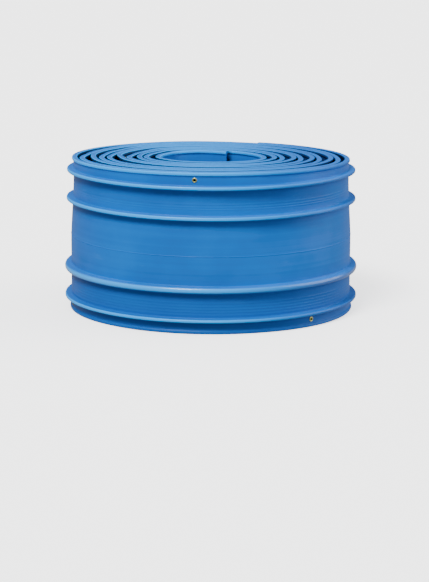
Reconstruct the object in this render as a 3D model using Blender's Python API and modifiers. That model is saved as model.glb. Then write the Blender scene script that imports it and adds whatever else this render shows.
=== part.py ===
"""PVC waterstop: a ribbed strip wound flat on itself into a coil that stands on its end, with brass tying eyelets.

Units are metres and +Z is up. The origin is on the coil's axis, in the plane that the coil stands on.
The front of the coil faces -Y.
"""

import math

import bpy

# The strip's section: a flat web, a bead along each edge, and ribs on its outer face only
STRIP_WIDTH = 0.250
WEB_THICKNESS = 0.0046
BEAD_THICKNESS = 0.0088
BEAD_DEPTH = 0.0060
BEAD_TAPER = 0.0022
RIB_HEIGHT = 0.0106
RIB_BASE = 0.0130
RIB_TIP_RADIUS = 0.0020
RIB_SPACING = 0.0480

# A brass eyelet: a barrel through the web with a flange on each face
EYELET_FLANGE_RADIUS = 0.0040
EYELET_BARREL_RADIUS = 0.0026
EYELET_BORE_RADIUS = 0.0019
EYELET_FLANGE_THICKNESS = 0.0005
EYELET_SEAT_GAP = 0.0003
EYELET_MARGIN = 0.0005
EYELETS_PER_TURN = 3
EYELET_FACETS = 12

# The coil
OUTER_RADIUS = 0.2325
TURNS = 10
TURN_CLEARANCE = 0.0003
FACETS_PER_EYELET = 12
TOP_EYELET_AZIMUTH = math.radians(-97.0)
BOTTOM_EYELET_LAG_FACETS = 5

# Worked out from the sizes above
TURN_PITCH = WEB_THICKNESS + RIB_HEIGHT + TURN_CLEARANCE
BEAD_OVERHANG = (BEAD_THICKNESS - WEB_THICKNESS) / 2
EYELET_INSET = BEAD_DEPTH + EYELET_MARGIN + EYELET_FLANGE_RADIUS
EDGE_RIB_INSET = EYELET_INSET + EYELET_FLANGE_RADIUS + EYELET_MARGIN + RIB_BASE / 2
INNER_RIB_INSET = EDGE_RIB_INSET + RIB_SPACING
COIL_FACETS = EYELETS_PER_TURN * FACETS_PER_EYELET
FACET_ANGLE = math.tau / COIL_FACETS

# Finishes: colour, roughness, metallic
PVC_BLUE = ("pvc_blue", (0.035, 0.235, 0.560, 1.0), 0.38, 0.0)
EYELET_BRASS = ("eyelet_brass", (0.520, 0.430, 0.180, 1.0), 0.35, 1.0)


def clear_scene():
    """Remove every object, so that the script starts from nothing."""
    for obj in list(bpy.data.objects):
        bpy.data.objects.remove(obj, do_unlink=True)


def new_collection(name):
    """Return a new collection in the scene."""
    collection = bpy.data.collections.new(name)
    bpy.context.scene.collection.children.link(collection)
    return collection


def finish_material(finish):
    """Return the Principled BSDF material for a finish."""
    name, colour, roughness, metallic = finish
    material = bpy.data.materials.new(name)
    material.use_nodes = True
    shader = material.node_tree.nodes["Principled BSDF"]
    shader.inputs["Base Color"].default_value = colour
    shader.inputs["Roughness"].default_value = roughness
    shader.inputs["Metallic"].default_value = metallic
    return material


def turned_object(name, collection, outline, steps, material):
    """Return a ring turned round Z from a closed outline of (radius, height) points, run down its outer side."""
    points = [(radius, 0.0, height) for radius, height in outline]
    edges = [(i, (i + 1) % len(points)) for i in range(len(points))]
    mesh = bpy.data.meshes.new(name)
    mesh.from_pydata(points, edges, [])
    mesh.materials.append(material)
    obj = bpy.data.objects.new(name, mesh)
    collection.objects.link(obj)
    screw = obj.modifiers.new("turn", "SCREW")
    screw.axis = "Z"
    screw.angle = math.tau
    screw.steps = steps
    screw.render_steps = steps
    screw.use_merge_vertices = True
    screw.merge_threshold = 0.00001
    screw.use_smooth_shade = False
    return obj


def web_outer_radius(turn):
    """Return the radius of a turn's outer web face. Turn 0 is the outermost."""
    return OUTER_RADIUS - turn * TURN_PITCH


def rib_outline(height):
    """Return a rib's points on the outermost turn, from its upper foot round its tip to its lower foot."""
    tip_centre = OUTER_RADIUS + RIB_HEIGHT - RIB_TIP_RADIUS
    tip = [
        (tip_centre + RIB_TIP_RADIUS * math.cos(angle), height + RIB_TIP_RADIUS * math.sin(angle))
        for angle in (math.radians(75), 0.0, math.radians(-75))
    ]
    upper_foot = (OUTER_RADIUS, height + RIB_BASE / 2)
    lower_foot = (OUTER_RADIUS, height - RIB_BASE / 2)
    return [upper_foot, *tip, lower_foot]


def outer_face_outline():
    """Return the outermost turn's outer face from top to bottom: bead, four ribs, bead."""
    bead_radius = OUTER_RADIUS + BEAD_OVERHANG
    top_bead = [
        (bead_radius, STRIP_WIDTH),
        (bead_radius, STRIP_WIDTH - BEAD_DEPTH + BEAD_TAPER),
        (OUTER_RADIUS, STRIP_WIDTH - BEAD_DEPTH),
    ]
    bottom_bead = [(radius, STRIP_WIDTH - height) for radius, height in reversed(top_bead)]
    ribs = []
    for inset in (EDGE_RIB_INSET, INNER_RIB_INSET):
        ribs += rib_outline(STRIP_WIDTH - inset)
    for inset in (INNER_RIB_INSET, EDGE_RIB_INSET):
        ribs += rib_outline(inset)
    return top_bead + ribs + bottom_bead


def end_outline():
    """Return the bottom end from outside to inside: the beads, and between them the gaps down to the edge rib.

    Each turn's edge rib bears on the turn outside it, so its flank is the floor of the gap.
    """
    points = []
    for turn in range(TURNS - 1):
        outer_wall = web_outer_radius(turn) - WEB_THICKNESS
        inner_wall = web_outer_radius(turn + 1)
        points += [
            (outer_wall - BEAD_OVERHANG, 0.0),
            (outer_wall, BEAD_DEPTH),
            (outer_wall, EDGE_RIB_INSET - RIB_TIP_RADIUS),
            (inner_wall, EDGE_RIB_INSET - RIB_BASE / 2),
            (inner_wall, BEAD_DEPTH),
            (inner_wall + BEAD_OVERHANG, 0.0),
        ]
    eye_wall = web_outer_radius(TURNS - 1) - WEB_THICKNESS
    return points + [(eye_wall - BEAD_OVERHANG, 0.0), (eye_wall, BEAD_DEPTH)]


def coil_outline():
    """Return the whole section of the coil: outer face, bottom end, eye and top end."""
    bottom = end_outline()
    top = [(radius, STRIP_WIDTH - height) for radius, height in reversed(bottom)]
    return outer_face_outline() + bottom + top


def eyelet_outline():
    """Return an eyelet's section about its own axis: a flange, the barrel and the other flange."""
    flange_seat = WEB_THICKNESS / 2 + EYELET_SEAT_GAP
    end = flange_seat + EYELET_FLANGE_THICKNESS
    return [
        (EYELET_FLANGE_RADIUS, end),
        (EYELET_FLANGE_RADIUS, flange_seat),
        (EYELET_BARREL_RADIUS, flange_seat),
        (EYELET_BARREL_RADIUS, -flange_seat),
        (EYELET_FLANGE_RADIUS, -flange_seat),
        (EYELET_FLANGE_RADIUS, -end),
        (EYELET_BORE_RADIUS, -end),
        (EYELET_BORE_RADIUS, end),
    ]


def eyelet_places():
    """Return (name, azimuth, height) for each eyelet of the outermost turn, top edge first."""
    places = []
    for edge, first, height in (
        ("top", TOP_EYELET_AZIMUTH, STRIP_WIDTH - EYELET_INSET),
        ("bottom", TOP_EYELET_AZIMUTH + BOTTOM_EYELET_LAG_FACETS * FACET_ANGLE, EYELET_INSET),
    ):
        for number in range(EYELETS_PER_TURN):
            azimuth = first + number * FACETS_PER_EYELET * FACET_ANGLE
            places.append((f"eyelet_{edge}_{number + 1}", azimuth, height))
    return places


def seat_in_web(obj, azimuth, height):
    """Place an object that is turned round Z so that its axis is radial, in the middle of the outermost web."""
    seat_radius = (OUTER_RADIUS - WEB_THICKNESS / 2) * math.cos(FACET_ANGLE / 2)
    obj.location = (seat_radius * math.cos(azimuth), seat_radius * math.sin(azimuth), height)
    obj.rotation_euler = (0.0, math.pi / 2, azimuth)


def hole_cutter(name, collection, azimuth, height):
    """Add the cutter for one eyelet's hole, a little longer than the web is thick."""
    bpy.ops.mesh.primitive_cylinder_add(
        vertices=EYELET_FACETS,
        radius=EYELET_BARREL_RADIUS + EYELET_SEAT_GAP,
        depth=2 * WEB_THICKNESS,
    )
    cutter = bpy.context.object
    cutter.name = name
    for holder in list(cutter.users_collection):
        holder.objects.unlink(cutter)
    collection.objects.link(cutter)
    cutter.hide_render = True
    cutter.display_type = "WIRE"
    seat_in_web(cutter, azimuth, height)


def build():
    """Build the coil and its eyelets."""
    clear_scene()
    parts = new_collection("pvc_waterstop_coil")
    cutters = new_collection("hole_cutters")
    pvc = finish_material(PVC_BLUE)
    brass = finish_material(EYELET_BRASS)

    coil = turned_object("waterstop_coil", parts, coil_outline(), COIL_FACETS, pvc)
    coil.rotation_euler = (0.0, 0.0, TOP_EYELET_AZIMUTH + FACET_ANGLE / 2)

    for name, azimuth, height in eyelet_places():
        hole_cutter(name + "_hole", cutters, azimuth, height)
        eyelet = turned_object(name, parts, eyelet_outline(), EYELET_FACETS, brass)
        seat_in_web(eyelet, azimuth, height)

    holes = coil.modifiers.new("eyelet_holes", "BOOLEAN")
    holes.operation = "DIFFERENCE"
    holes.operand_type = "COLLECTION"
    holes.collection = cutters


build()
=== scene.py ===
"""The looks of a coil of PVC waterstop: the wound strip, its brass eyelets and a plain studio.

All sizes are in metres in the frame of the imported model. +Z is up and the front of the coil faces -Y.
An azimuth is measured from the front: 0 is the front, 90 the right, -90 the left and 180 the back.
"""

from __future__ import annotations

import logging
import math
from dataclasses import dataclass
from enum import Enum
from typing import Iterable, Sequence, Union

import bmesh
import bpy
from mathutils import Matrix, Vector, noise


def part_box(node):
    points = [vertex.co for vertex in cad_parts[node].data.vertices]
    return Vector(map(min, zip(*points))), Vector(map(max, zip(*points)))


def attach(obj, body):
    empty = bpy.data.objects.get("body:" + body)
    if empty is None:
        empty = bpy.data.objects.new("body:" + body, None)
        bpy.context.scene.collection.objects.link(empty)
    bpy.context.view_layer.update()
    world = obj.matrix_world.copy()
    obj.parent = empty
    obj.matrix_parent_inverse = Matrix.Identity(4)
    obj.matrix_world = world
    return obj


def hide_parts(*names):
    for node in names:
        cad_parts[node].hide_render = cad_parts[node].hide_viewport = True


LOG = logging.getLogger("waterstop")
BODY = "root"
COIL_NODE = "waterstop_coil"
MM = 0.001

# A Mix node's colour sockets share their names with its other sockets, so they are told apart by number
MIX_FACTOR = 0
MIX_FIRST = 6
MIX_SECOND = 7
MIX_RESULT = 2


class Edge(Enum):
    """The strip's two edges."""

    TOP = "top"
    BOTTOM = "bottom"


class Slot(Enum):
    """The record's material slots."""

    STRIP = "pvc_strip"
    EYELET = "eyelet"


class Signal:
    """A value on its way through a material's nodes. Arithmetic on it adds Math nodes."""

    def __init__(self, graph: "Graph", socket: bpy.types.NodeSocket) -> None:
        """Wrap one output socket.

        Args:
            graph: The material that the socket belongs to.
            socket: The output socket.
        """
        self.graph = graph
        self.socket = socket

    def _with(self, operation: str, first: "Operand", second: "Operand") -> "Signal":
        """Return the result of a Math node on two operands."""
        return self.graph.node("ShaderNodeMath", {"operation": operation}, {0: first, 1: second})

    def __add__(self, other: "Operand") -> "Signal":
        """Return self + other."""
        return self._with("ADD", self, other)

    def __radd__(self, other: "Operand") -> "Signal":
        """Return other + self."""
        return self._with("ADD", other, self)

    def __sub__(self, other: "Operand") -> "Signal":
        """Return self - other."""
        return self._with("SUBTRACT", self, other)

    def __rsub__(self, other: "Operand") -> "Signal":
        """Return other - self."""
        return self._with("SUBTRACT", other, self)

    def __mul__(self, other: "Operand") -> "Signal":
        """Return self * other."""
        return self._with("MULTIPLY", self, other)

    def __rmul__(self, other: "Operand") -> "Signal":
        """Return other * self."""
        return self._with("MULTIPLY", other, self)

    def between(self, low: float, high: float) -> "Signal":
        """Return a smooth step of self.

        Args:
            low: The value that gives 0.
            high: The value that gives 1.

        Returns:
            A value from 0 to 1.
        """
        settings = {"interpolation_type": "SMOOTHSTEP"}
        values = {"Value": self, "From Min": low, "From Max": high}
        return self.graph.node("ShaderNodeMapRange", settings, values)


Operand = Union[Signal, float]
Colour = tuple[float, float, float, float]


@dataclass(frozen=True)
class Pattern:
    """A noise pattern.

    scale is how often it repeats in a metre, and stretch multiplies that along each axis. detail is the
    number of its finer layers and roughness their strength. limits are the two values that become 0 and 1.
    """

    scale: float
    detail: float
    roughness: float
    stretch: tuple[float, float, float] | None = None
    limits: tuple[float, float] | None = None


class Graph:
    """The nodes of a material or of the studio's sky, built round its shader."""

    def __init__(self, owner: bpy.types.ID, shader: str = "Principled BSDF") -> None:
        """Start from a new material or world.

        Args:
            owner: The material or world.
            shader: The name of its shader node.
        """
        self.owner = owner
        self.owner.use_nodes = True
        self.tree = self.owner.node_tree
        self.shader = self.tree.nodes[shader]

    def node(
        self,
        kind: str,
        settings: dict[str, object] | None = None,
        values: dict[int | str, object] | None = None,
        output: int | str = 0,
    ) -> Signal:
        """Add a node.

        Args:
            kind: The node's type.
            settings: Its properties, which are set first.
            values: What goes to its sockets, each a constant or a Signal.
            output: The output socket that is wanted.

        Returns:
            The wanted output.
        """
        new = self.tree.nodes.new(kind)
        for name, value in (settings or {}).items():
            setattr(new, name, value)
        for key, value in (values or {}).items():
            self.feed(new.inputs[key], value)
        return Signal(self, new.outputs[output])

    def feed(self, socket: bpy.types.NodeSocket, value: object) -> None:
        """Give an input socket a constant or a link.

        Args:
            socket: The input socket.
            value: A Signal, or a constant of the socket's kind.
        """
        if isinstance(value, Signal):
            self.tree.links.new(value.socket, socket)
        else:
            socket.default_value = value

    def mix(self, factor: Operand, first: object, second: object) -> Signal:
        """Mix two colours.

        Args:
            factor: The share of the second colour.
            first: The first colour.
            second: The second colour.

        Returns:
            The mixed colour.
        """
        values = {MIX_FACTOR: factor, MIX_FIRST: first, MIX_SECOND: second}
        return self.node("ShaderNodeMix", {"data_type": "RGBA"}, values, MIX_RESULT)

    def axis(self, source: Signal, name: str) -> Signal:
        """Return one axis of a vector."""
        return self.node("ShaderNodeSeparateXYZ", {}, {0: source}, name)

    def pattern(self, at: Signal, pattern: Pattern) -> Signal:
        """Add a noise pattern.

        Args:
            at: The place on the surface.
            pattern: The pattern.

        Returns:
            Its value there, from 0 to 1.
        """
        if pattern.stretch is not None:
            at = self.node("ShaderNodeMapping", {}, {"Vector": at, "Scale": pattern.stretch})
        size = {"Scale": pattern.scale, "Detail": pattern.detail, "Roughness": pattern.roughness}
        value = self.node("ShaderNodeTexNoise", {}, {"Vector": at, **size})
        return value if pattern.limits is None else value.between(*pattern.limits)

    def bump(self, height: Signal, distance: float, under: Signal | None = None) -> Signal:
        """Return a normal bumped by a height.

        Args:
            height: The height, from 0 to 1.
            distance: The real size of a height of 1.
            under: A normal that this one is laid over.

        Returns:
            The bumped normal.
        """
        values: dict[int | str, object] = {"Height": height, "Distance": distance, "Strength": 1.0}
        if under is not None:
            values["Normal"] = under
        return self.node("ShaderNodeBump", {}, values)

    def finish(self, **inputs: object) -> bpy.types.ID:
        """Feed the shader.

        Args:
            **inputs: What goes to each shader socket, with underscores in place of spaces.

        Returns:
            The finished material or world.
        """
        for name, value in inputs.items():
            self.feed(self.shader.inputs[name.replace("_", " ")], value)
        return self.owner


@dataclass(frozen=True)
class PvcFinish:
    """Flexible blue PVC, extruded: satin, with fine die lines along the strip.

    Its rib crests and the beads' outer faces carry a painted highlight that fades out towards the right.
    Painted shade darkens its lower part and its faces between the turns.
    """

    # Colours
    deep: Colour = (0.002, 0.100, 0.410, 1.0)
    clear: Colour = (0.003, 0.138, 0.520, 1.0)
    # Painted shade, darker towards the strip's bottom edge
    foot: Colour = (0.002, 0.080, 0.350, 1.0)
    # Painted highlight on the rib crests and the beads' outer faces
    painted_highlight: Colour = (0.003, 0.340, 0.900, 1.0)
    dust: Colour = (0.12, 0.32, 0.66, 1.0)
    # Painted shade on the faces between the turns
    slot_shade_colour: Colour = (0.001, 0.010, 0.060, 1.0)

    # Where each colour lies on the section
    crest_from: float = 10.4 * MM
    crest_full: float = 12.9 * MM
    bead_from: float = 2.6 * MM
    bead_full: float = 3.8 * MM
    bead_foot: float = 243.4 * MM
    # Where the painted highlight fades out towards the right, across the coil
    highlight_fade_from: float = 205.0 * MM
    highlight_fade_full: float = -20.0 * MM
    # Where the painted shade low on the strip starts and where it is full
    low_shade_from: float = 84.0 * MM
    low_shade_full: float = 58.0 * MM
    broad_rib_low: float = 64.0 * MM
    broad_rib_high: float = 75.2 * MM
    ramp: float = 1.0 * MM

    # How much of each shows
    low_shade_share: float = 0.6
    slot_shade_share: float = 0.94
    dust_share: float = 0.04
    scuff_share: float = 0.08
    plain_coat: float = 0.2

    # Gloss, and how far each pattern changes it
    roughness: float = 0.40
    mirror: float = 0.12
    refraction: float = 1.53
    coat_roughness: float = 0.20
    mottle_roughness: float = 0.12
    line_roughness: float = 0.16
    dust_roughness: float = 0.5
    scuff_roughness: float = 0.10
    slot_roughness: float = 0.4

    # Patterns, the stretched ones along and across the strip
    die_lines: Pattern = Pattern(1.0, 4.0, 0.62, stretch=(1.2, 900.0, 1.0))
    broad_lines: Pattern = Pattern(1.0, 2.0, 0.5, stretch=(0.9, 130.0, 1.0))
    scuffs: Pattern = Pattern(1.0, 5.0, 0.65, stretch=(14.0, 60.0, 1.0), limits=(0.60, 0.78))
    mottle: Pattern = Pattern(9.0, 3.0, 0.55)
    patches: Pattern = Pattern(34.0, 4.0, 0.6, limits=(0.35, 0.75))
    grain: Pattern = Pattern(620.0, 2.0, 0.5)
    mottle_share: float = 0.6
    tone_limits: tuple[float, float] = (0.30, 0.72)
    facing_up: tuple[float, float] = (0.35, 0.95)

    # Relief
    die_line_height: float = 0.10 * MM
    fine_line_relief: float = 0.6
    broad_line_relief: float = 0.8
    orange_peel_height: float = 0.06 * MM

    def material(self) -> bpy.types.Material:
        """Return the strip's material.

        It reads what the strip carries: its length and width in one UV map, its section's outward distance
        and height in another, and how deep each point lies between two turns, which sets the painted shade
        there.
        """
        graph = Graph(bpy.data.materials.new("blue_pvc"))
        place = graph.node("ShaderNodeTexCoord", output="Object")
        along = graph.node("ShaderNodeUVMap", {"uv_map": "strip"})
        section = graph.node("ShaderNodeUVMap", {"uv_map": "section"})
        outward = graph.axis(section, "X")
        height = graph.axis(section, "Y")
        slot_shade = graph.node("ShaderNodeAttribute", {"attribute_name": "slot_shade"}, output="Fac")

        # Patterns
        lines = graph.pattern(along, self.die_lines)
        broad_lines = graph.pattern(along, self.broad_lines)
        scuffs = graph.pattern(along, self.scuffs)
        mottle = graph.pattern(place, self.mottle)
        patches = graph.pattern(place, self.patches)
        grain = graph.pattern(place, self.grain)

        # Crests of the ribs and faces of the beads: a painted highlight on them that fades out towards the
        # right, and a coat on the crests
        crest = outward.between(self.crest_from, self.crest_full)
        bead = (outward * outward).between(self.bead_from**2, self.bead_full**2)
        bead = bead * height.between(self.bead_foot - self.ramp, self.bead_foot)
        highlight_fade = graph.axis(place, "X").between(self.highlight_fade_from, self.highlight_fade_full)
        painted_highlight = (crest + bead * (1.0 - crest)) * highlight_fade
        broad_rib = height.between(self.broad_rib_low - self.ramp, self.broad_rib_low)
        broad_rib = broad_rib * height.between(self.broad_rib_high + self.ramp, self.broad_rib_high)
        coat = crest * (broad_rib * (1.0 - self.plain_coat) + self.plain_coat)

        # Dust on what faces up
        facing = graph.node("ShaderNodeNewGeometry", output="Normal")
        up = graph.axis(facing, "Z").between(*self.facing_up)
        dust = up * (patches * 0.5 + 0.5) * self.dust_share

        # Colour
        tone = mottle * self.mottle_share + broad_lines * (1.0 - self.mottle_share)
        tone = tone.between(*self.tone_limits)
        colour = graph.mix(tone, self.deep, self.clear)
        # Painted shade, darker towards the strip's bottom edge
        foot = height.between(self.low_shade_from, self.low_shade_full) * self.low_shade_share
        colour = graph.mix(foot, colour, self.foot)
        # Painted highlight on the crests and beads, fading out towards the right
        colour = graph.mix(painted_highlight, colour, self.painted_highlight)
        colour = graph.mix(dust, colour, self.dust)
        colour = graph.mix(scuffs * self.scuff_share, colour, self.dust)
        # Painted shade on the faces between the turns
        colour = graph.mix(slot_shade * self.slot_shade_share, colour, self.slot_shade_colour)

        # Gloss
        roughness = self.roughness + (mottle - 0.5) * self.mottle_roughness
        roughness = roughness + (lines - 0.5) * self.line_roughness
        roughness = roughness + dust * self.dust_roughness + scuffs * self.scuff_roughness
        roughness = roughness + slot_shade * self.slot_roughness
        graph.feed(graph.shader.inputs["Specular IOR Level"], self.mirror)
        graph.feed(graph.shader.inputs["Coat Roughness"], self.coat_roughness)
        graph.feed(graph.shader.inputs["IOR"], self.refraction)

        # Relief
        fine = graph.bump(grain, self.orange_peel_height)
        drawn = lines * self.fine_line_relief + broad_lines * self.broad_line_relief
        normal = graph.bump(drawn, self.die_line_height, fine)
        return graph.finish(Base_Color=colour, Roughness=roughness, Normal=normal, Coat_Weight=coat)


@dataclass(frozen=True)
class BrassFinish:
    """Pressed brass with patches of tarnish and fine scratches."""

    bright: Colour = (0.56, 0.54, 0.20, 1.0)
    dull: Colour = (0.26, 0.27, 0.09, 1.0)
    roughness: float = 0.26
    tarnish_roughness: float = 0.22
    scratch_roughness: float = 0.12
    tarnish: Pattern = Pattern(420.0, 4.0, 0.6, limits=(0.38, 0.66))
    scratches: Pattern = Pattern(1500.0, 2.0, 0.5, stretch=(1.0, 1.0, 6.0))
    scratch_depth: float = 0.03 * MM

    def material(self) -> bpy.types.Material:
        """Return the eyelets' material."""
        graph = Graph(bpy.data.materials.new("eyelet_brass_worn"))
        place = graph.node("ShaderNodeTexCoord", output="Object")
        tarnish = graph.pattern(place, self.tarnish)
        scratches = graph.pattern(place, self.scratches)
        colour = graph.mix(tarnish, self.bright, self.dull)
        roughness = self.roughness + tarnish * self.tarnish_roughness
        roughness = roughness + (scratches - 0.5) * self.scratch_roughness
        normal = graph.bump(scratches, self.scratch_depth)
        return graph.finish(Base_Color=colour, Metallic=1.0, Roughness=roughness, Normal=normal)


@dataclass(frozen=True)
class FloorFinish:
    """The plain pale floor, lit through from below like a studio's light table."""

    colour: Colour = (0.94, 0.94, 0.94, 1.0)
    glow: float = 1.7
    roughness: float = 0.9

    def material(self) -> bpy.types.Material:
        """Return the floor's material."""
        graph = Graph(bpy.data.materials.new("pale_floor"))
        graph.feed(graph.shader.inputs["Emission Strength"], self.glow)
        return graph.finish(Base_Color=self.colour, Roughness=self.roughness, Emission_Color=self.colour)


@dataclass(frozen=True)
class Corner:
    """A corner of the strip's section.

    outward and height are its place. cut is how far from it its rounding starts, and steps how many faces
    the rounding has.
    """

    outward: float
    height: float
    cut: float = 0.0
    steps: int = 1


@dataclass(frozen=True)
class Rib:
    """A rib of the strip's section: its height on the strip, its widths and how far its tip is rounded."""

    height: float
    tip: float
    base: float
    tip_cut: float


@dataclass
class StripSection:
    """The section of the strip as it leaves the die: a web, edge beads, and ribs and fine lines outside."""

    # Web and edge beads
    width: float
    web: float = 4.6 * MM
    bead_thickness: float = 8.8 * MM
    bead_depth: float = 6.2 * MM
    bead_round: float = 1.7 * MM
    bead_taper: float = 1.4 * MM
    bead_shoulder_round: float = 1.2 * MM
    bead_foot_round: float = 1.0 * MM

    # Ribs, from the top down
    rib_height: float = 10.6 * MM
    rib_foot_cut: float = 1.0 * MM
    ribs: tuple[Rib, ...] = (
        Rib(226.2 * MM, 5.4 * MM, 6.6 * MM, 1.9 * MM),
        Rib(179.8 * MM, 5.6 * MM, 7.0 * MM, 1.9 * MM),
        Rib(69.6 * MM, 9.8 * MM, 11.6 * MM, 4.3 * MM),
        Rib(22.0 * MM, 5.0 * MM, 6.2 * MM, 1.8 * MM),
    )

    # The flanges outside the edge ribs, where the strip bends most
    edge_inset: float = 22.5 * MM
    flange_from_bead: float = 1.5 * MM
    flange_past_rib: float = 6.0 * MM
    flange_cuts: int = 4

    # Fine lines, the seam and the bare web between them
    upper_lines: tuple[float, ...] = (201.2 * MM, 196.8 * MM, 193.4 * MM)
    lower_lines: tuple[float, ...] = (48.6 * MM, 43.8 * MM, 39.2 * MM, 34.6 * MM, 30.0 * MM)
    fine_height: float = 0.18 * MM
    fine_base: float = 2.0 * MM
    seam_height: float = 121.0 * MM
    seam_rise: float = 0.40 * MM
    seam_base: float = 1.4 * MM
    bare_stretches: tuple[tuple[float, float, int], ...] = (
        (220.0 * MM, 204.5 * MM, 3),
        (190.5 * MM, 186.5 * MM, 2),
        (173.0 * MM, 124.0 * MM, 6),
        (118.0 * MM, 78.8 * MM, 5),
        (60.5 * MM, 52.0 * MM, 2),
    )

    def rib(self, rib: Rib, detailed: bool) -> list[Corner]:
        """Return a rib's corners from its upper foot round its tip to its lower foot.

        Args:
            rib: The rib.
            detailed: Whether it is seen, or hidden between two turns.

        Returns:
            The corners.
        """
        face = self.web / 2
        crest = face + self.rib_height
        foot_steps, tip_steps = (3, 6) if detailed else (1, 2)
        return [
            Corner(face, rib.height + rib.base / 2, self.rib_foot_cut, foot_steps),
            Corner(crest, rib.height + rib.tip / 2, rib.tip_cut, tip_steps),
            Corner(crest, rib.height - rib.tip / 2, rib.tip_cut, tip_steps),
            Corner(face, rib.height - rib.base / 2, self.rib_foot_cut, foot_steps),
        ]

    def fine_line(self, height: float, rise: float, base: float) -> list[Corner]:
        """Return a fine raised line's corners."""
        face = self.web / 2
        return [
            Corner(face, height + base / 2),
            Corner(face + rise, height + base / 6),
            Corner(face + rise, height - base / 6),
            Corner(face, height - base / 2),
        ]

    def fine_lines(self, heights: Iterable[float]) -> list[Corner]:
        """Return the corners of several fine lines, given from the top down."""
        corners = []
        for height in heights:
            corners += self.fine_line(height, self.fine_height, self.fine_base)
        return corners

    def bead(self, side: int) -> list[Corner]:
        """Return the top bead's corners on one face, from its crown down to the web.

        Args:
            side: 1 for the outer face, -1 for the inner face.

        Returns:
            The corners.
        """
        thick = side * self.bead_thickness / 2
        foot = self.width - self.bead_depth
        return [
            Corner(thick, self.width, self.bead_round, 5),
            Corner(thick, foot + self.bead_taper, self.bead_shoulder_round, 3),
            Corner(side * self.web / 2, foot, self.bead_foot_round, 2),
        ]

    def flange(self, side: int) -> list[Corner]:
        """Return the points at which the upper flange can bend, from the bead down to the edge rib."""
        top = self.width - self.bead_depth - self.flange_from_bead
        bottom = self.width - self.edge_inset + self.flange_past_rib
        steps = [index / (self.flange_cuts - 1) for index in range(self.flange_cuts)]
        return [Corner(side * self.web / 2, top + (bottom - top) * step) for step in steps]

    def bare_web(self, high: float, low: float, points: int) -> list[Corner]:
        """Return points down a bare stretch of the outer face, which keep its shading even when it bends.

        Args:
            high: The highest point.
            low: The lowest point.
            points: How many there are, at least two.

        Returns:
            The points.
        """
        steps = [index / (points - 1) for index in range(points)]
        return [Corner(self.web / 2, high + (low - high) * step) for step in steps]

    def flipped(self, corners: Iterable[Corner]) -> list[Corner]:
        """Return corners turned over from the top edge to the bottom edge, still running down the face."""
        turned = [Corner(c.outward, self.width - c.height, c.cut, c.steps) for c in corners]
        return turned[::-1]

    def corners(self, detailed: bool) -> list[Corner]:
        """Return the whole outline.

        Args:
            detailed: Whether the fine lines are wanted, which only the outermost turn shows.

        Returns:
            The corners from the top, down the outer face and up the inner face.
        """
        bare = [self.bare_web(*stretch) for stretch in self.bare_stretches]
        seam = self.fine_line(self.seam_height, self.seam_rise, self.seam_base)
        under_ribs = [
            bare[0] + self.fine_lines(self.upper_lines) + bare[1],
            bare[2] + seam + bare[3],
            bare[4] + self.fine_lines(self.lower_lines),
            [],
        ]
        outer = self.bead(1) + self.flange(1)
        for rib, under in zip(self.ribs, under_ribs):
            outer += self.rib(rib, detailed)
            outer += under if detailed else []
        outer += self.flipped(self.bead(1) + self.flange(1))
        inner = self.bead(-1) + self.flange(-1)
        inner += [Corner(-self.web / 2, rib.height) for rib in self.ribs]
        inner += self.flipped(self.bead(-1) + self.flange(-1))
        return outer + inner[::-1]

    def face(self, mesh: bmesh.types.BMesh, along: float, detailed: bool) -> bmesh.types.BMFace:
        """Add the section as one face across the strip and round its corners.

        Args:
            mesh: The mesh that gets the face.
            along: The face's place along the strip.
            detailed: Whether the fine lines are wanted.

        Returns:
            The rounded face.
        """
        corners = self.corners(detailed)
        verts = [mesh.verts.new((along, corner.outward, corner.height)) for corner in corners]
        mesh.faces.new(verts)
        for rounding in sorted({(corner.cut, corner.steps) for corner in corners if corner.cut}):
            chosen = [vert for vert, corner in zip(verts, corners) if (corner.cut, corner.steps) == rounding]
            bmesh.ops.bevel(
                mesh,
                geom=chosen,
                offset=rounding[0],
                offset_type="OFFSET",
                affect="VERTICES",
                segments=rounding[1],
                profile=0.5,
                material=-1,
                clamp_overlap=False,
            )
        mesh.faces.ensure_lookup_table()
        return mesh.faces[0]


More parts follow.
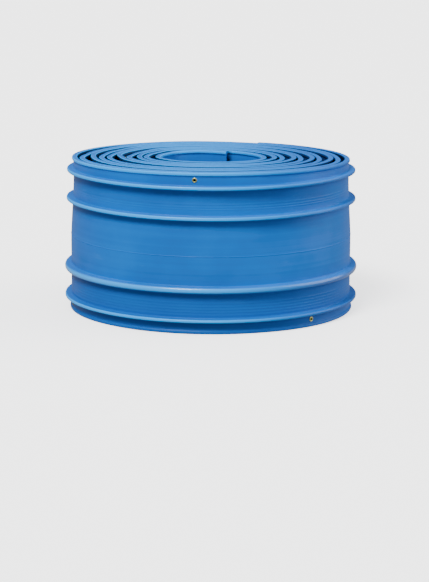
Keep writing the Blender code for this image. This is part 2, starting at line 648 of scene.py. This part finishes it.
@dataclass
class Winding:
    """How the strip is wound: turn inside turn, each a round ring that steps in by one pitch at the back.

    The distance along the strip starts at its loose outer end. leans gives, at some azimuths, how far each
    turn's top edge leans outwards in millimetres, the outermost turn first.
    """

    # The spiral
    section: StripSection
    crest_radius: float
    pitch: float = 15.5 * MM
    turns: int = 10
    loose_end: float = 158.0
    step_sector: float = 40.0

    # How far the strip's upper part is drawn in, and the heights between which that grows
    top_pull: float = 5.1 * MM
    pull_from: float = 105.0 * MM
    pull_to: float = 215.0 * MM

    # How far the upper part rises at the coil's sides, and the right rim sinks
    side_rise: float = 3.2 * MM
    rise_from: float = 40.0 * MM
    rise_full: float = 165.0 * MM
    rise_end: float = 228.0 * MM
    right_drop: float = 1.8 * MM

    # How uneven the strip lies: how far, in how many waves along it, round the coil and up, and their seeds
    bottom_lean: float = 1.6 * MM
    lean_gain: float = 3.0
    lean_waves: float = 2.6
    lean_power: float = 1.6
    lean_seed: float = 57.3
    edge_drop: float = 0.7 * MM
    drop_waves: float = 2.2
    drop_seed: tuple[float, float] = (26.3, 3.0)
    sway: float = 0.5 * MM
    sway_bias: float = -0.6
    sway_waves: float = 2.4
    sway_waves_up: float = 7.0
    sway_seed: float = 17.3

    # How deep between two turns their faces take painted shade
    slot_shade_from: float = 0.2 * MM
    slot_shade_full: float = 1.4 * MM

    # How the top edges lean
    leans: tuple[tuple[float, tuple[float, ...]], ...] = (
        (-180.0, (-1.2, 1.0, -1.0, 1.5, -1.0, 2.0, 0.0, 1.5, 0.0, 0.0)),
        (-142.0, (-0.5, 2.0, 6.0, 7.0, 8.0, 10.0, 6.0, 6.0, 8.0, 3.0)),
        (-116.0, (0.6, -4.6, 1.5, -3.5, -1.0, 5.0, -4.0, 1.0, 0.5, -3.0)),
        (-98.0, (0.6, -4.6, 1.8, -2.5, -0.5, 6.0, -3.0, 1.0, 3.0, 0.0)),
        (-79.0, (0.0, 4.4, -0.5, 3.5, 6.5, 0.0, 5.0, 3.0, 8.0, 4.0)),
        (-50.0, (-1.0, 4.5, 0.5, 5.5, 9.0, -2.0, 4.0, 6.0, 9.0, 4.0)),
        (0.0, (-1.2, 4.5, 0.5, 5.5, 7.5, -1.0, 3.0, 5.0, 6.0, 2.0)),
        (46.0, (-1.6, 3.0, -0.5, 3.0, 2.5, 3.5, -1.0, 4.0, 0.0, 2.0)),
        (64.0, (-1.2, 4.2, -1.0, 4.0, 0.5, 4.5, 0.5, 4.0, 1.0, 2.0)),
        (94.0, (-0.8, -2.4, 4.2, -1.5, 4.5, -0.5, 5.5, 0.5, 4.5, 2.0)),
        (112.0, (-1.0, -2.6, 3.8, -2.0, 4.0, -1.0, 5.0, 0.0, 4.0, 1.0)),
        (140.0, (-1.6, 1.0, 3.0, 0.0, 3.0, 1.0, 3.0, 1.0, 2.0, 0.0)),
    )

    def middle_radius(self) -> float:
        """Return the radius of the outermost turn's web, in the middle of its thickness."""
        return self.crest_radius - self.section.rib_height - self.section.web / 2

    def turn_length(self, turn: int) -> float:
        """Return the length of strip in one turn."""
        radius = self.middle_radius() - turn * self.pitch
        return math.tau * radius - math.radians(self.step_sector) * self.pitch / 2

    def length(self) -> float:
        """Return the strip's whole length."""
        return sum(self.turn_length(turn) for turn in range(self.turns))

    def wound_angle(self, along: float) -> tuple[int, float]:
        """Find a place along the strip in the coil.

        Args:
            along: The distance from the loose end.

        Returns:
            The turn, counted from the outermost, and the angle gone round within it.
        """
        turn = 0
        while turn < self.turns - 1 and along >= self.turn_length(turn):
            along -= self.turn_length(turn)
            turn += 1
        radius = self.middle_radius() - turn * self.pitch
        sector = math.radians(self.step_sector)
        round_part = (math.tau - sector) * radius
        if along <= round_part:
            return turn, along / radius
        return turn, math.tau - sector + (along - round_part) / (radius - self.pitch / 2)

    def azimuth(self, angle: float) -> float:
        """Return the azimuth in radians after going round by an angle from the loose end."""
        return math.radians(self.loose_end) - angle

    def along_at(self, turn: int, azimuth: float) -> float:
        """Return the distance along the strip at which a turn passes an azimuth, which is in degrees."""
        angle = (math.radians(self.loose_end) - math.radians(azimuth)) % math.tau
        before = sum(self.turn_length(number) for number in range(turn))
        radius = self.middle_radius() - turn * self.pitch
        return before + angle * radius

    def step(self, angle: float) -> float:
        """Return how far a turn has stepped in to the next one at an angle, from 0 to 1."""
        sector = math.radians(self.step_sector)
        return eased((angle - (math.tau - sector)) / sector)

    def radius(self, turn: int, angle: float) -> float:
        """Return the radius of the web's middle at an angle of a turn."""
        return self.middle_radius() - (turn + self.step(angle)) * self.pitch

    def top_lean(self, turn: int, angle: float) -> float:
        """Return how far the top edge leans outwards at an angle of a turn."""
        first = self.leans[0][0]
        azimuth = (math.degrees(self.azimuth(angle)) - first) % 360.0 + first
        closed = [*self.leans, (first + 360.0, self.leans[0][1])]
        low, high = next(pair for pair in zip(closed, closed[1:]) if azimuth <= pair[1][0])
        share = eased((azimuth - low[0]) / (high[0] - low[0]))
        following = min(turn + 1, self.turns - 1)
        own, after = (low[1][n] + (high[1][n] - low[1][n]) * share for n in (turn, following))
        return (own + (after - own) * self.step(angle)) * MM

    def slot_shade(self, place: Vector) -> float:
        """Return how deep a point of the straight strip lies between two turns, from 0 in the open to 1,
        which is its share of painted shade.
        """
        turn, _ = self.wound_angle(place.x)
        open_outside = turn == 0 and place.y > 0
        open_inside = turn == self.turns - 1 and place.y < 0
        if open_outside or open_inside:
            return 0.0
        depth = min(place.z, self.section.width - place.z)
        return eased((depth - self.slot_shade_from) / (self.slot_shade_full - self.slot_shade_from))

    def past_edge_rib(self, height: float) -> float:
        """Return how far up the top flange a height lies, from 0 at the edge rib to 1 at the rim."""
        inset = self.section.edge_inset
        return max(0.0, height - (self.section.width - inset)) / inset

    def edge_lean(self, turn: int, angle: float, along: float, height: float) -> float:
        """Return how far the strip's flanges lean outwards at a place.

        Args:
            turn: The turn, counted from the outermost.
            angle: The angle gone round within it.
            along: The distance along the strip.
            height: The height on the strip.

        Returns:
            The lean, which is 0 between the two edge ribs.
        """
        above = self.past_edge_rib(height) ** self.lean_power
        below = self.past_edge_rib(self.section.width - height) ** self.lean_power
        foot = noise.noise(Vector((along * self.lean_waves, self.lean_seed, 0.0)))
        bottom = math.tanh(foot * self.lean_gain) * self.bottom_lean
        return self.top_lean(turn, angle) * above + bottom * below

    def drop(self, around: Vector, along: float, height: float) -> float:
        """Return how far a place sinks, which is less than 0 where it rises.

        Args:
            around: The direction from the coil's axis to the place.
            along: The distance along the strip.
            height: The height on the strip.

        Returns:
            The drop.
        """
        uneven = noise.noise(Vector((along * self.drop_waves, *self.drop_seed))) * 0.5 + 0.5
        behind = 0.5 + 0.5 * around.y
        rim = eased((height - self.rise_end) / (self.section.width - self.rise_end))
        risen = eased((height - self.rise_from) / (self.rise_full - self.rise_from)) * (1.0 - rim)
        sunk = uneven * self.edge_drop * self.past_edge_rib(height) * behind
        sunk += self.right_drop * max(0.0, around.x) ** 2 * rim
        return sunk - self.side_rise * around.x**2 * risen

    def wound(self, place: Vector) -> Vector:
        """Wind one point of the straight strip into the coil.

        Args:
            place: Distance along the strip, distance outwards from the middle of its web, and height.

        Returns:
            The point's place in the coil.
        """
        along, outward, height = place
        turn, angle = self.wound_angle(along)
        azimuth = self.azimuth(angle)
        around = Vector((math.sin(azimuth), -math.cos(azimuth), 0.0))
        lean = self.edge_lean(turn, angle, along, height)
        pull = self.top_pull * eased((height - self.pull_from) / (self.pull_to - self.pull_from))
        across = around * self.sway_waves
        up = Vector((0.0, 0.0, height * self.sway_waves_up + self.sway_seed))
        sway = (noise.noise(across + up) + self.sway_bias) * self.sway
        radius = self.radius(turn, angle) + outward + lean - pull + sway
        return around * radius + Vector((0.0, 0.0, height - self.drop(around, along, height)))


@dataclass
class WaterstopStrip:
    """The strip itself, modelled straight, pierced for its eyelets and then wound."""

    section: StripSection
    winding: Winding
    finish: PvcFinish
    step: float = 10.5 * MM
    under_end: float = 34.0
    hole_radius: float = 2.9 * MM
    hole_sides: int = 20
    sharp_from: float = 38.0

    def straight(self, start: float, end: float, detailed: bool) -> bpy.types.Object:
        """Extrude a length of the straight strip.

        Args:
            start: Where it starts along the strip.
            end: Where it ends.
            detailed: Whether it has the fine lines.

        Returns:
            The straight strip, closed at both ends.
        """
        mesh = bmesh.new()
        steps = round((end - start) / self.step)
        face = self.section.face(mesh, start, detailed)
        grown = bmesh.ops.extrude_face_region(mesh, geom=[face], use_keep_orig=True)["geom"]
        far_end = [item for item in grown if isinstance(item, bmesh.types.BMVert)]
        bmesh.ops.translate(mesh, verts=far_end, vec=(end - start, 0.0, 0.0))
        lengthwise = [edge for edge in mesh.edges if edge.calc_length() > (end - start) / 2]
        bmesh.ops.subdivide_edges(mesh, edges=lengthwise, cuts=steps - 1)
        bmesh.ops.recalc_face_normals(mesh, faces=mesh.faces)
        return as_object(mesh, "straight_strip")

    def holes(self, places: Sequence[tuple[float, float]]) -> bpy.types.Object:
        """Return one mesh of the punches for the eyelets' holes.

        Args:
            places: Each hole's distance along the strip and height.

        Returns:
            The punches, which stand across the straight strip.
        """
        mesh = bmesh.new()
        turn = Matrix.Rotation(math.pi / 2, 4, "X")
        for along, height in places:
            bmesh.ops.create_cone(
                mesh,
                cap_ends=True,
                segments=self.hole_sides,
                radius1=self.hole_radius,
                radius2=self.hole_radius,
                depth=self.section.web * 2,
                matrix=Matrix.Translation((along, 0.0, height)) @ turn,
            )
        bmesh.ops.recalc_face_normals(mesh, faces=mesh.faces)
        return as_object(mesh, "punches")

    def piece(
        self, name: str, start: float, end: float, detailed: bool, places: Sequence[tuple[float, float]]
    ) -> bpy.types.Object:
        """Build one length of the strip and wind it.

        Args:
            name: The piece's name.
            start: Where it starts along the strip.
            end: Where it ends.
            detailed: Whether it has the fine lines.
            places: The eyelets on it.

        Returns:
            The dressed piece.
        """
        straight = self.straight(start, end, detailed)
        punches = self.holes(places)
        cut = straight.modifiers.new("holes", "BOOLEAN")
        cut.operation = "DIFFERENCE"
        cut.solver = "EXACT"
        cut.object = punches
        mesh = applied(straight)
        bpy.data.objects.remove(punches, do_unlink=True)
        bpy.data.objects.remove(straight, do_unlink=True)
        strip_map = mesh.loops.layers.uv.new("strip")
        section_map = mesh.loops.layers.uv.new("section")
        slot_shade = mesh.verts.layers.float.new("slot_shade")
        for face in mesh.faces:
            for loop in face.loops:
                along, outward, height = loop.vert.co
                loop[strip_map].uv = (along, height + outward)
                loop[section_map].uv = (outward, height)
        for vert in mesh.verts:
            # Each point's share of painted shade between the turns, then its place in the coil
            vert[slot_shade] = self.winding.slot_shade(vert.co)
            vert.co = self.winding.wound(vert.co)
        piece = as_object(mesh, name)
        dress(piece, self.finish.material(), self.sharp_from)
        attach(piece, BODY)
        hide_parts(COIL_NODE)
        return piece

    def build(self, places: Sequence[tuple[float, float]]) -> list[bpy.types.Object]:
        """Build the outermost turn, which shows its face, and the turns inside it, which show their edges.

        Args:
            places: Every eyelet's distance along the strip and height.

        Returns:
            The two pieces.
        """
        covered = math.radians(self.under_end) * self.winding.middle_radius()
        split = self.winding.turn_length(0) + covered
        pieces = []
        for name, start, end, detailed in (
            ("waterstop_strip_outer_turn", 0.0, split, True),
            ("waterstop_strip_inner_turns", split, self.winding.length(), False),
        ):
            own = [place for place in places if start < place[0] < end]
            pieces.append(self.piece(name, start, end, detailed, own))
        return pieces


@dataclass
class TyingEyelets:
    """The brass eyelets pressed through the strip at even distances along both edges."""

    section: StripSection
    winding: Winding
    finish: BrassFinish
    inset: float = 11.8 * MM
    per_turn: int = 3
    top_start: float = -6.4
    bottom_start: float = 43.0
    lip_radius: float = 4.0 * MM
    bore_radius: float = 1.9 * MM
    barrel_radius: float = 2.6 * MM
    lip_rise: float = 0.95 * MM
    lip_seat: float = 0.05 * MM
    lip_edge_cut: float = 0.15 * MM
    lip_edge_rise: float = 0.35 * MM
    shoulder_inset: float = 0.45 * MM
    shoulder_share: float = 0.82
    throat_inset: float = 0.35 * MM
    throat_share: float = 0.80
    bore_edge_rise: float = 0.25 * MM
    sides: int = 28
    sharp_from: float = 50.0
    end_margin: float = 20.0 * MM

    def height(self, edge: Edge) -> float:
        """Return the eyelets' height on an edge."""
        return self.inset if edge is Edge.BOTTOM else self.section.width - self.inset

    def places(self) -> list[tuple[str, float, float]]:
        """List every eyelet, one edge after the other, the outermost turn's first.

        Returns:
            The name, the distance along the strip and the height of each.
        """
        spacing = math.tau * self.winding.middle_radius() / self.per_turn
        found = []
        for edge, start in ((Edge.TOP, self.top_start), (Edge.BOTTOM, self.bottom_start)):
            azimuths = [start + 360.0 / self.per_turn * number for number in range(self.per_turn)]
            outer = [self.winding.along_at(0, azimuth) for azimuth in azimuths]
            for number, along in enumerate(outer, 1):
                found.append((f"eyelet_{edge.value}_{number}", along, self.height(edge)))
            along = max(outer) + spacing
            number = self.per_turn
            while along < self.winding.length() - self.end_margin:
                number += 1
                found.append((f"inner_eyelet_{edge.value}_{number:02d}", along, self.height(edge)))
                along += spacing
        return found

    def outline(self) -> list[tuple[float, float]]:
        """Return an eyelet's closed section as (radius, distance from the web's middle) points."""
        face = self.section.web / 2
        half = [
            (self.barrel_radius, face + self.lip_seat),
            (self.lip_radius - self.lip_edge_cut, face + self.lip_seat),
            (self.lip_radius, face + self.lip_edge_rise),
            (self.lip_radius - self.shoulder_inset, face + self.lip_rise * self.shoulder_share),
            ((self.lip_radius + self.bore_radius) / 2, face + self.lip_rise),
            (self.bore_radius + self.throat_inset, face + self.lip_rise * self.throat_share),
            (self.bore_radius, face + self.bore_edge_rise),
        ]
        return half + [(radius, -depth) for radius, depth in reversed(half)]

    def eyelet(self, along: float, height: float) -> bmesh.types.BMesh:
        """Turn one eyelet about its own axis and wind it with the strip.

        Args:
            along: Its distance along the strip.
            height: Its height.

        Returns:
            Its mesh in the coil.
        """
        mesh = bmesh.new()
        verts = [mesh.verts.new((radius, depth, 0.0)) for radius, depth in self.outline()]
        edges = [mesh.edges.new((verts[i], verts[(i + 1) % len(verts)])) for i in range(len(verts))]
        bmesh.ops.spin(
            mesh,
            geom=verts + edges,
            cent=(0.0, 0.0, 0.0),
            axis=(0.0, 1.0, 0.0),
            angle=math.tau,
            steps=self.sides,
            use_merge=True,
        )
        bmesh.ops.recalc_face_normals(mesh, faces=mesh.faces)
        for vert in mesh.verts:
            vert.co = self.winding.wound(Vector((along + vert.co.x, vert.co.y, height + vert.co.z)))
        bmesh.ops.recalc_face_normals(mesh, faces=mesh.faces)
        return mesh

    def build(self) -> list[bpy.types.Object]:
        """Build every eyelet and return the pieces."""
        material = self.finish.material()
        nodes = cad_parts
        pieces = []
        for name, along, height in self.places():
            replaced = name in nodes
            piece = as_object(self.eyelet(along, height), name + "_pressed" if replaced else name)
            dress(piece, material, self.sharp_from)
            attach(piece, BODY)
            if replaced:
                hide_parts(name)
            pieces.append(piece)
        return pieces


@dataclass(frozen=True)
class DistantLight:
    """A broad studio light that is far away. spread is the angle it fills, which softens its shadows."""

    name: str
    azimuth: float
    elevation: float
    spread: float
    strength: float
    distance: float = 3.0

    def build(self) -> None:
        """Hang the light."""
        light = bpy.data.lights.new(self.name, "SUN")
        light.energy = self.strength
        light.angle = math.radians(self.spread)
        lamp = bpy.data.objects.new(self.name, light)
        azimuth = math.radians(self.azimuth)
        elevation = math.radians(self.elevation)
        level = math.cos(elevation)
        towards = Vector((math.sin(azimuth) * level, -math.cos(azimuth) * level, math.sin(elevation)))
        lamp.location = towards * self.distance
        lamp.rotation_euler = (-towards).to_track_quat("-Z", "Y").to_euler()
        bpy.context.scene.collection.objects.link(lamp)


@dataclass
class Studio:
    """A plain pale floor, soft lights and the camera at the photograph's viewing angle."""

    camera_distance: float = 2.6805
    camera_height: float = 0.5631
    pitch_down: float = 11.416
    yaw: float = 0.137
    roll: float = 0.291
    focal_pixels: float = 1630.7
    frame_width: float = 429.0
    sensor: float = 36.0
    far_clip: float = 500.0
    floor_size: float = 120.0
    high_sky: Colour = (1.10, 1.10, 1.10, 1.0)
    low_sky: Colour = (0.11, 0.15, 0.21, 1.0)
    ground_sky: Colour = (0.52, 0.52, 0.52, 1.0)
    ceiling: tuple[float, float] = (0.25, 0.80)
    horizon: tuple[float, float] = (0.0, 0.12)
    lights: tuple[DistantLight, ...] = (
        DistantLight("key_left", azimuth=-29.0, elevation=50.0, spread=22.0, strength=4.8),
        DistantLight("fill_right", azimuth=95.0, elevation=22.0, spread=60.0, strength=2.4),
    )

    def floor(self) -> None:
        """Lay the floor."""
        mesh = bmesh.new()
        bmesh.ops.create_grid(mesh, x_segments=1, y_segments=1, size=self.floor_size / 2)
        plane = as_object(mesh, "studio_floor")
        plane.data.materials.append(FloorFinish().material())
        # The floor's glow stays out of the light on the coil
        plane.visible_diffuse = False
        plane.visible_glossy = False

    def sky(self) -> None:
        """Set the soft light from all round: bright above, dim just over the horizon and grey below."""
        graph = Graph(bpy.data.worlds.new("studio"), "Background")
        towards = graph.node("ShaderNodeTexCoord", output="Generated")
        up = graph.axis(towards, "Z")
        sky = graph.mix(up.between(*self.ceiling), self.low_sky, self.high_sky)
        colour = graph.mix(up.between(*self.horizon), self.ground_sky, sky)
        bpy.context.scene.world = graph.finish(Color=colour, Strength=1.0)

    def camera(self) -> None:
        """Place the camera as it stood in the photograph."""
        data = bpy.data.cameras.new("photograph_camera")
        data.sensor_fit = "HORIZONTAL"
        data.sensor_width = self.sensor
        data.lens = self.sensor * self.focal_pixels / self.frame_width
        data.clip_end = self.far_clip
        camera = bpy.data.objects.new("photograph_camera", data)
        camera.location = (0.0, -self.camera_distance, self.camera_height)
        turn = Matrix.Rotation(math.radians(-self.yaw), 4, "Z")
        tilt = Matrix.Rotation(math.radians(90.0 - self.pitch_down), 4, "X")
        spin = Matrix.Rotation(math.radians(self.roll), 4, "Z")
        camera.rotation_euler = (turn @ tilt @ spin).to_euler()
        bpy.context.scene.collection.objects.link(camera)
        bpy.context.scene.camera = camera

    def build(self) -> None:
        """Set up the studio."""
        self.floor()
        self.sky()
        self.camera()
        for light in self.lights:
            light.build()


def eased(share: float) -> float:
    """Return a smooth step from 0 to 1 for a share that is limited to that range."""
    share = min(1.0, max(0.0, share))
    return share * share * (3 - 2 * share)


def as_object(mesh: bmesh.types.BMesh, name: str) -> bpy.types.Object:
    """Turn a bmesh into an object at the origin.

    Args:
        mesh: The mesh, which is freed.
        name: The object's name.

    Returns:
        The linked object.
    """
    data = bpy.data.meshes.new(name)
    mesh.to_mesh(data)
    mesh.free()
    piece = bpy.data.objects.new(name, data)
    bpy.context.scene.collection.objects.link(piece)
    return piece


def applied(piece: bpy.types.Object) -> bmesh.types.BMesh:
    """Return an object's mesh with its modifiers applied."""
    shown = piece.evaluated_get(bpy.context.evaluated_depsgraph_get())
    mesh = bmesh.new()
    mesh.from_mesh(shown.to_mesh())
    shown.to_mesh_clear()
    return mesh


def dress(piece: bpy.types.Object, material: bpy.types.Material, sharp_from: float) -> None:
    """Give a piece its material and smooth shading.

    Args:
        piece: The piece.
        material: Its material.
        sharp_from: The angle in degrees from which an edge stays sharp.
    """
    piece.data.materials.append(material)
    piece.data.shade_smooth()
    piece.data.set_sharp_from_angle(angle=math.radians(sharp_from))


def main() -> None:
    """Build the coil, its eyelets and the studio, and report each piece."""
    logging.basicConfig(level=logging.INFO, format="%(name)s: %(message)s")
    low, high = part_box(COIL_NODE)
    section = StripSection(width=high.z - low.z)
    winding = Winding(section=section, crest_radius=(high.x - low.x) / 2)
    eyelets = TyingEyelets(section, winding, BrassFinish())
    strip = WaterstopStrip(section, winding, PvcFinish())
    places = [(along, height) for _, along, height in eyelets.places()]
    LOG.info("strip length %.3f m in %d turns", winding.length(), winding.turns)
    for piece in strip.build(places) + eyelets.build():
        LOG.info("%s: %d faces", piece.name, len(piece.data.polygons))
    Studio().build()


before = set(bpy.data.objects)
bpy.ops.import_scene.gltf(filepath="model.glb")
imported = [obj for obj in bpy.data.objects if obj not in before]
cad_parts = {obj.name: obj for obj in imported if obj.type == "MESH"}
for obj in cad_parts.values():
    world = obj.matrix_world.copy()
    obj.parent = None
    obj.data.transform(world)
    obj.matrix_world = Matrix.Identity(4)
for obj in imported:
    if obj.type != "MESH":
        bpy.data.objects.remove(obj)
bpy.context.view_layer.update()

if __name__ == "__main__":
    main()
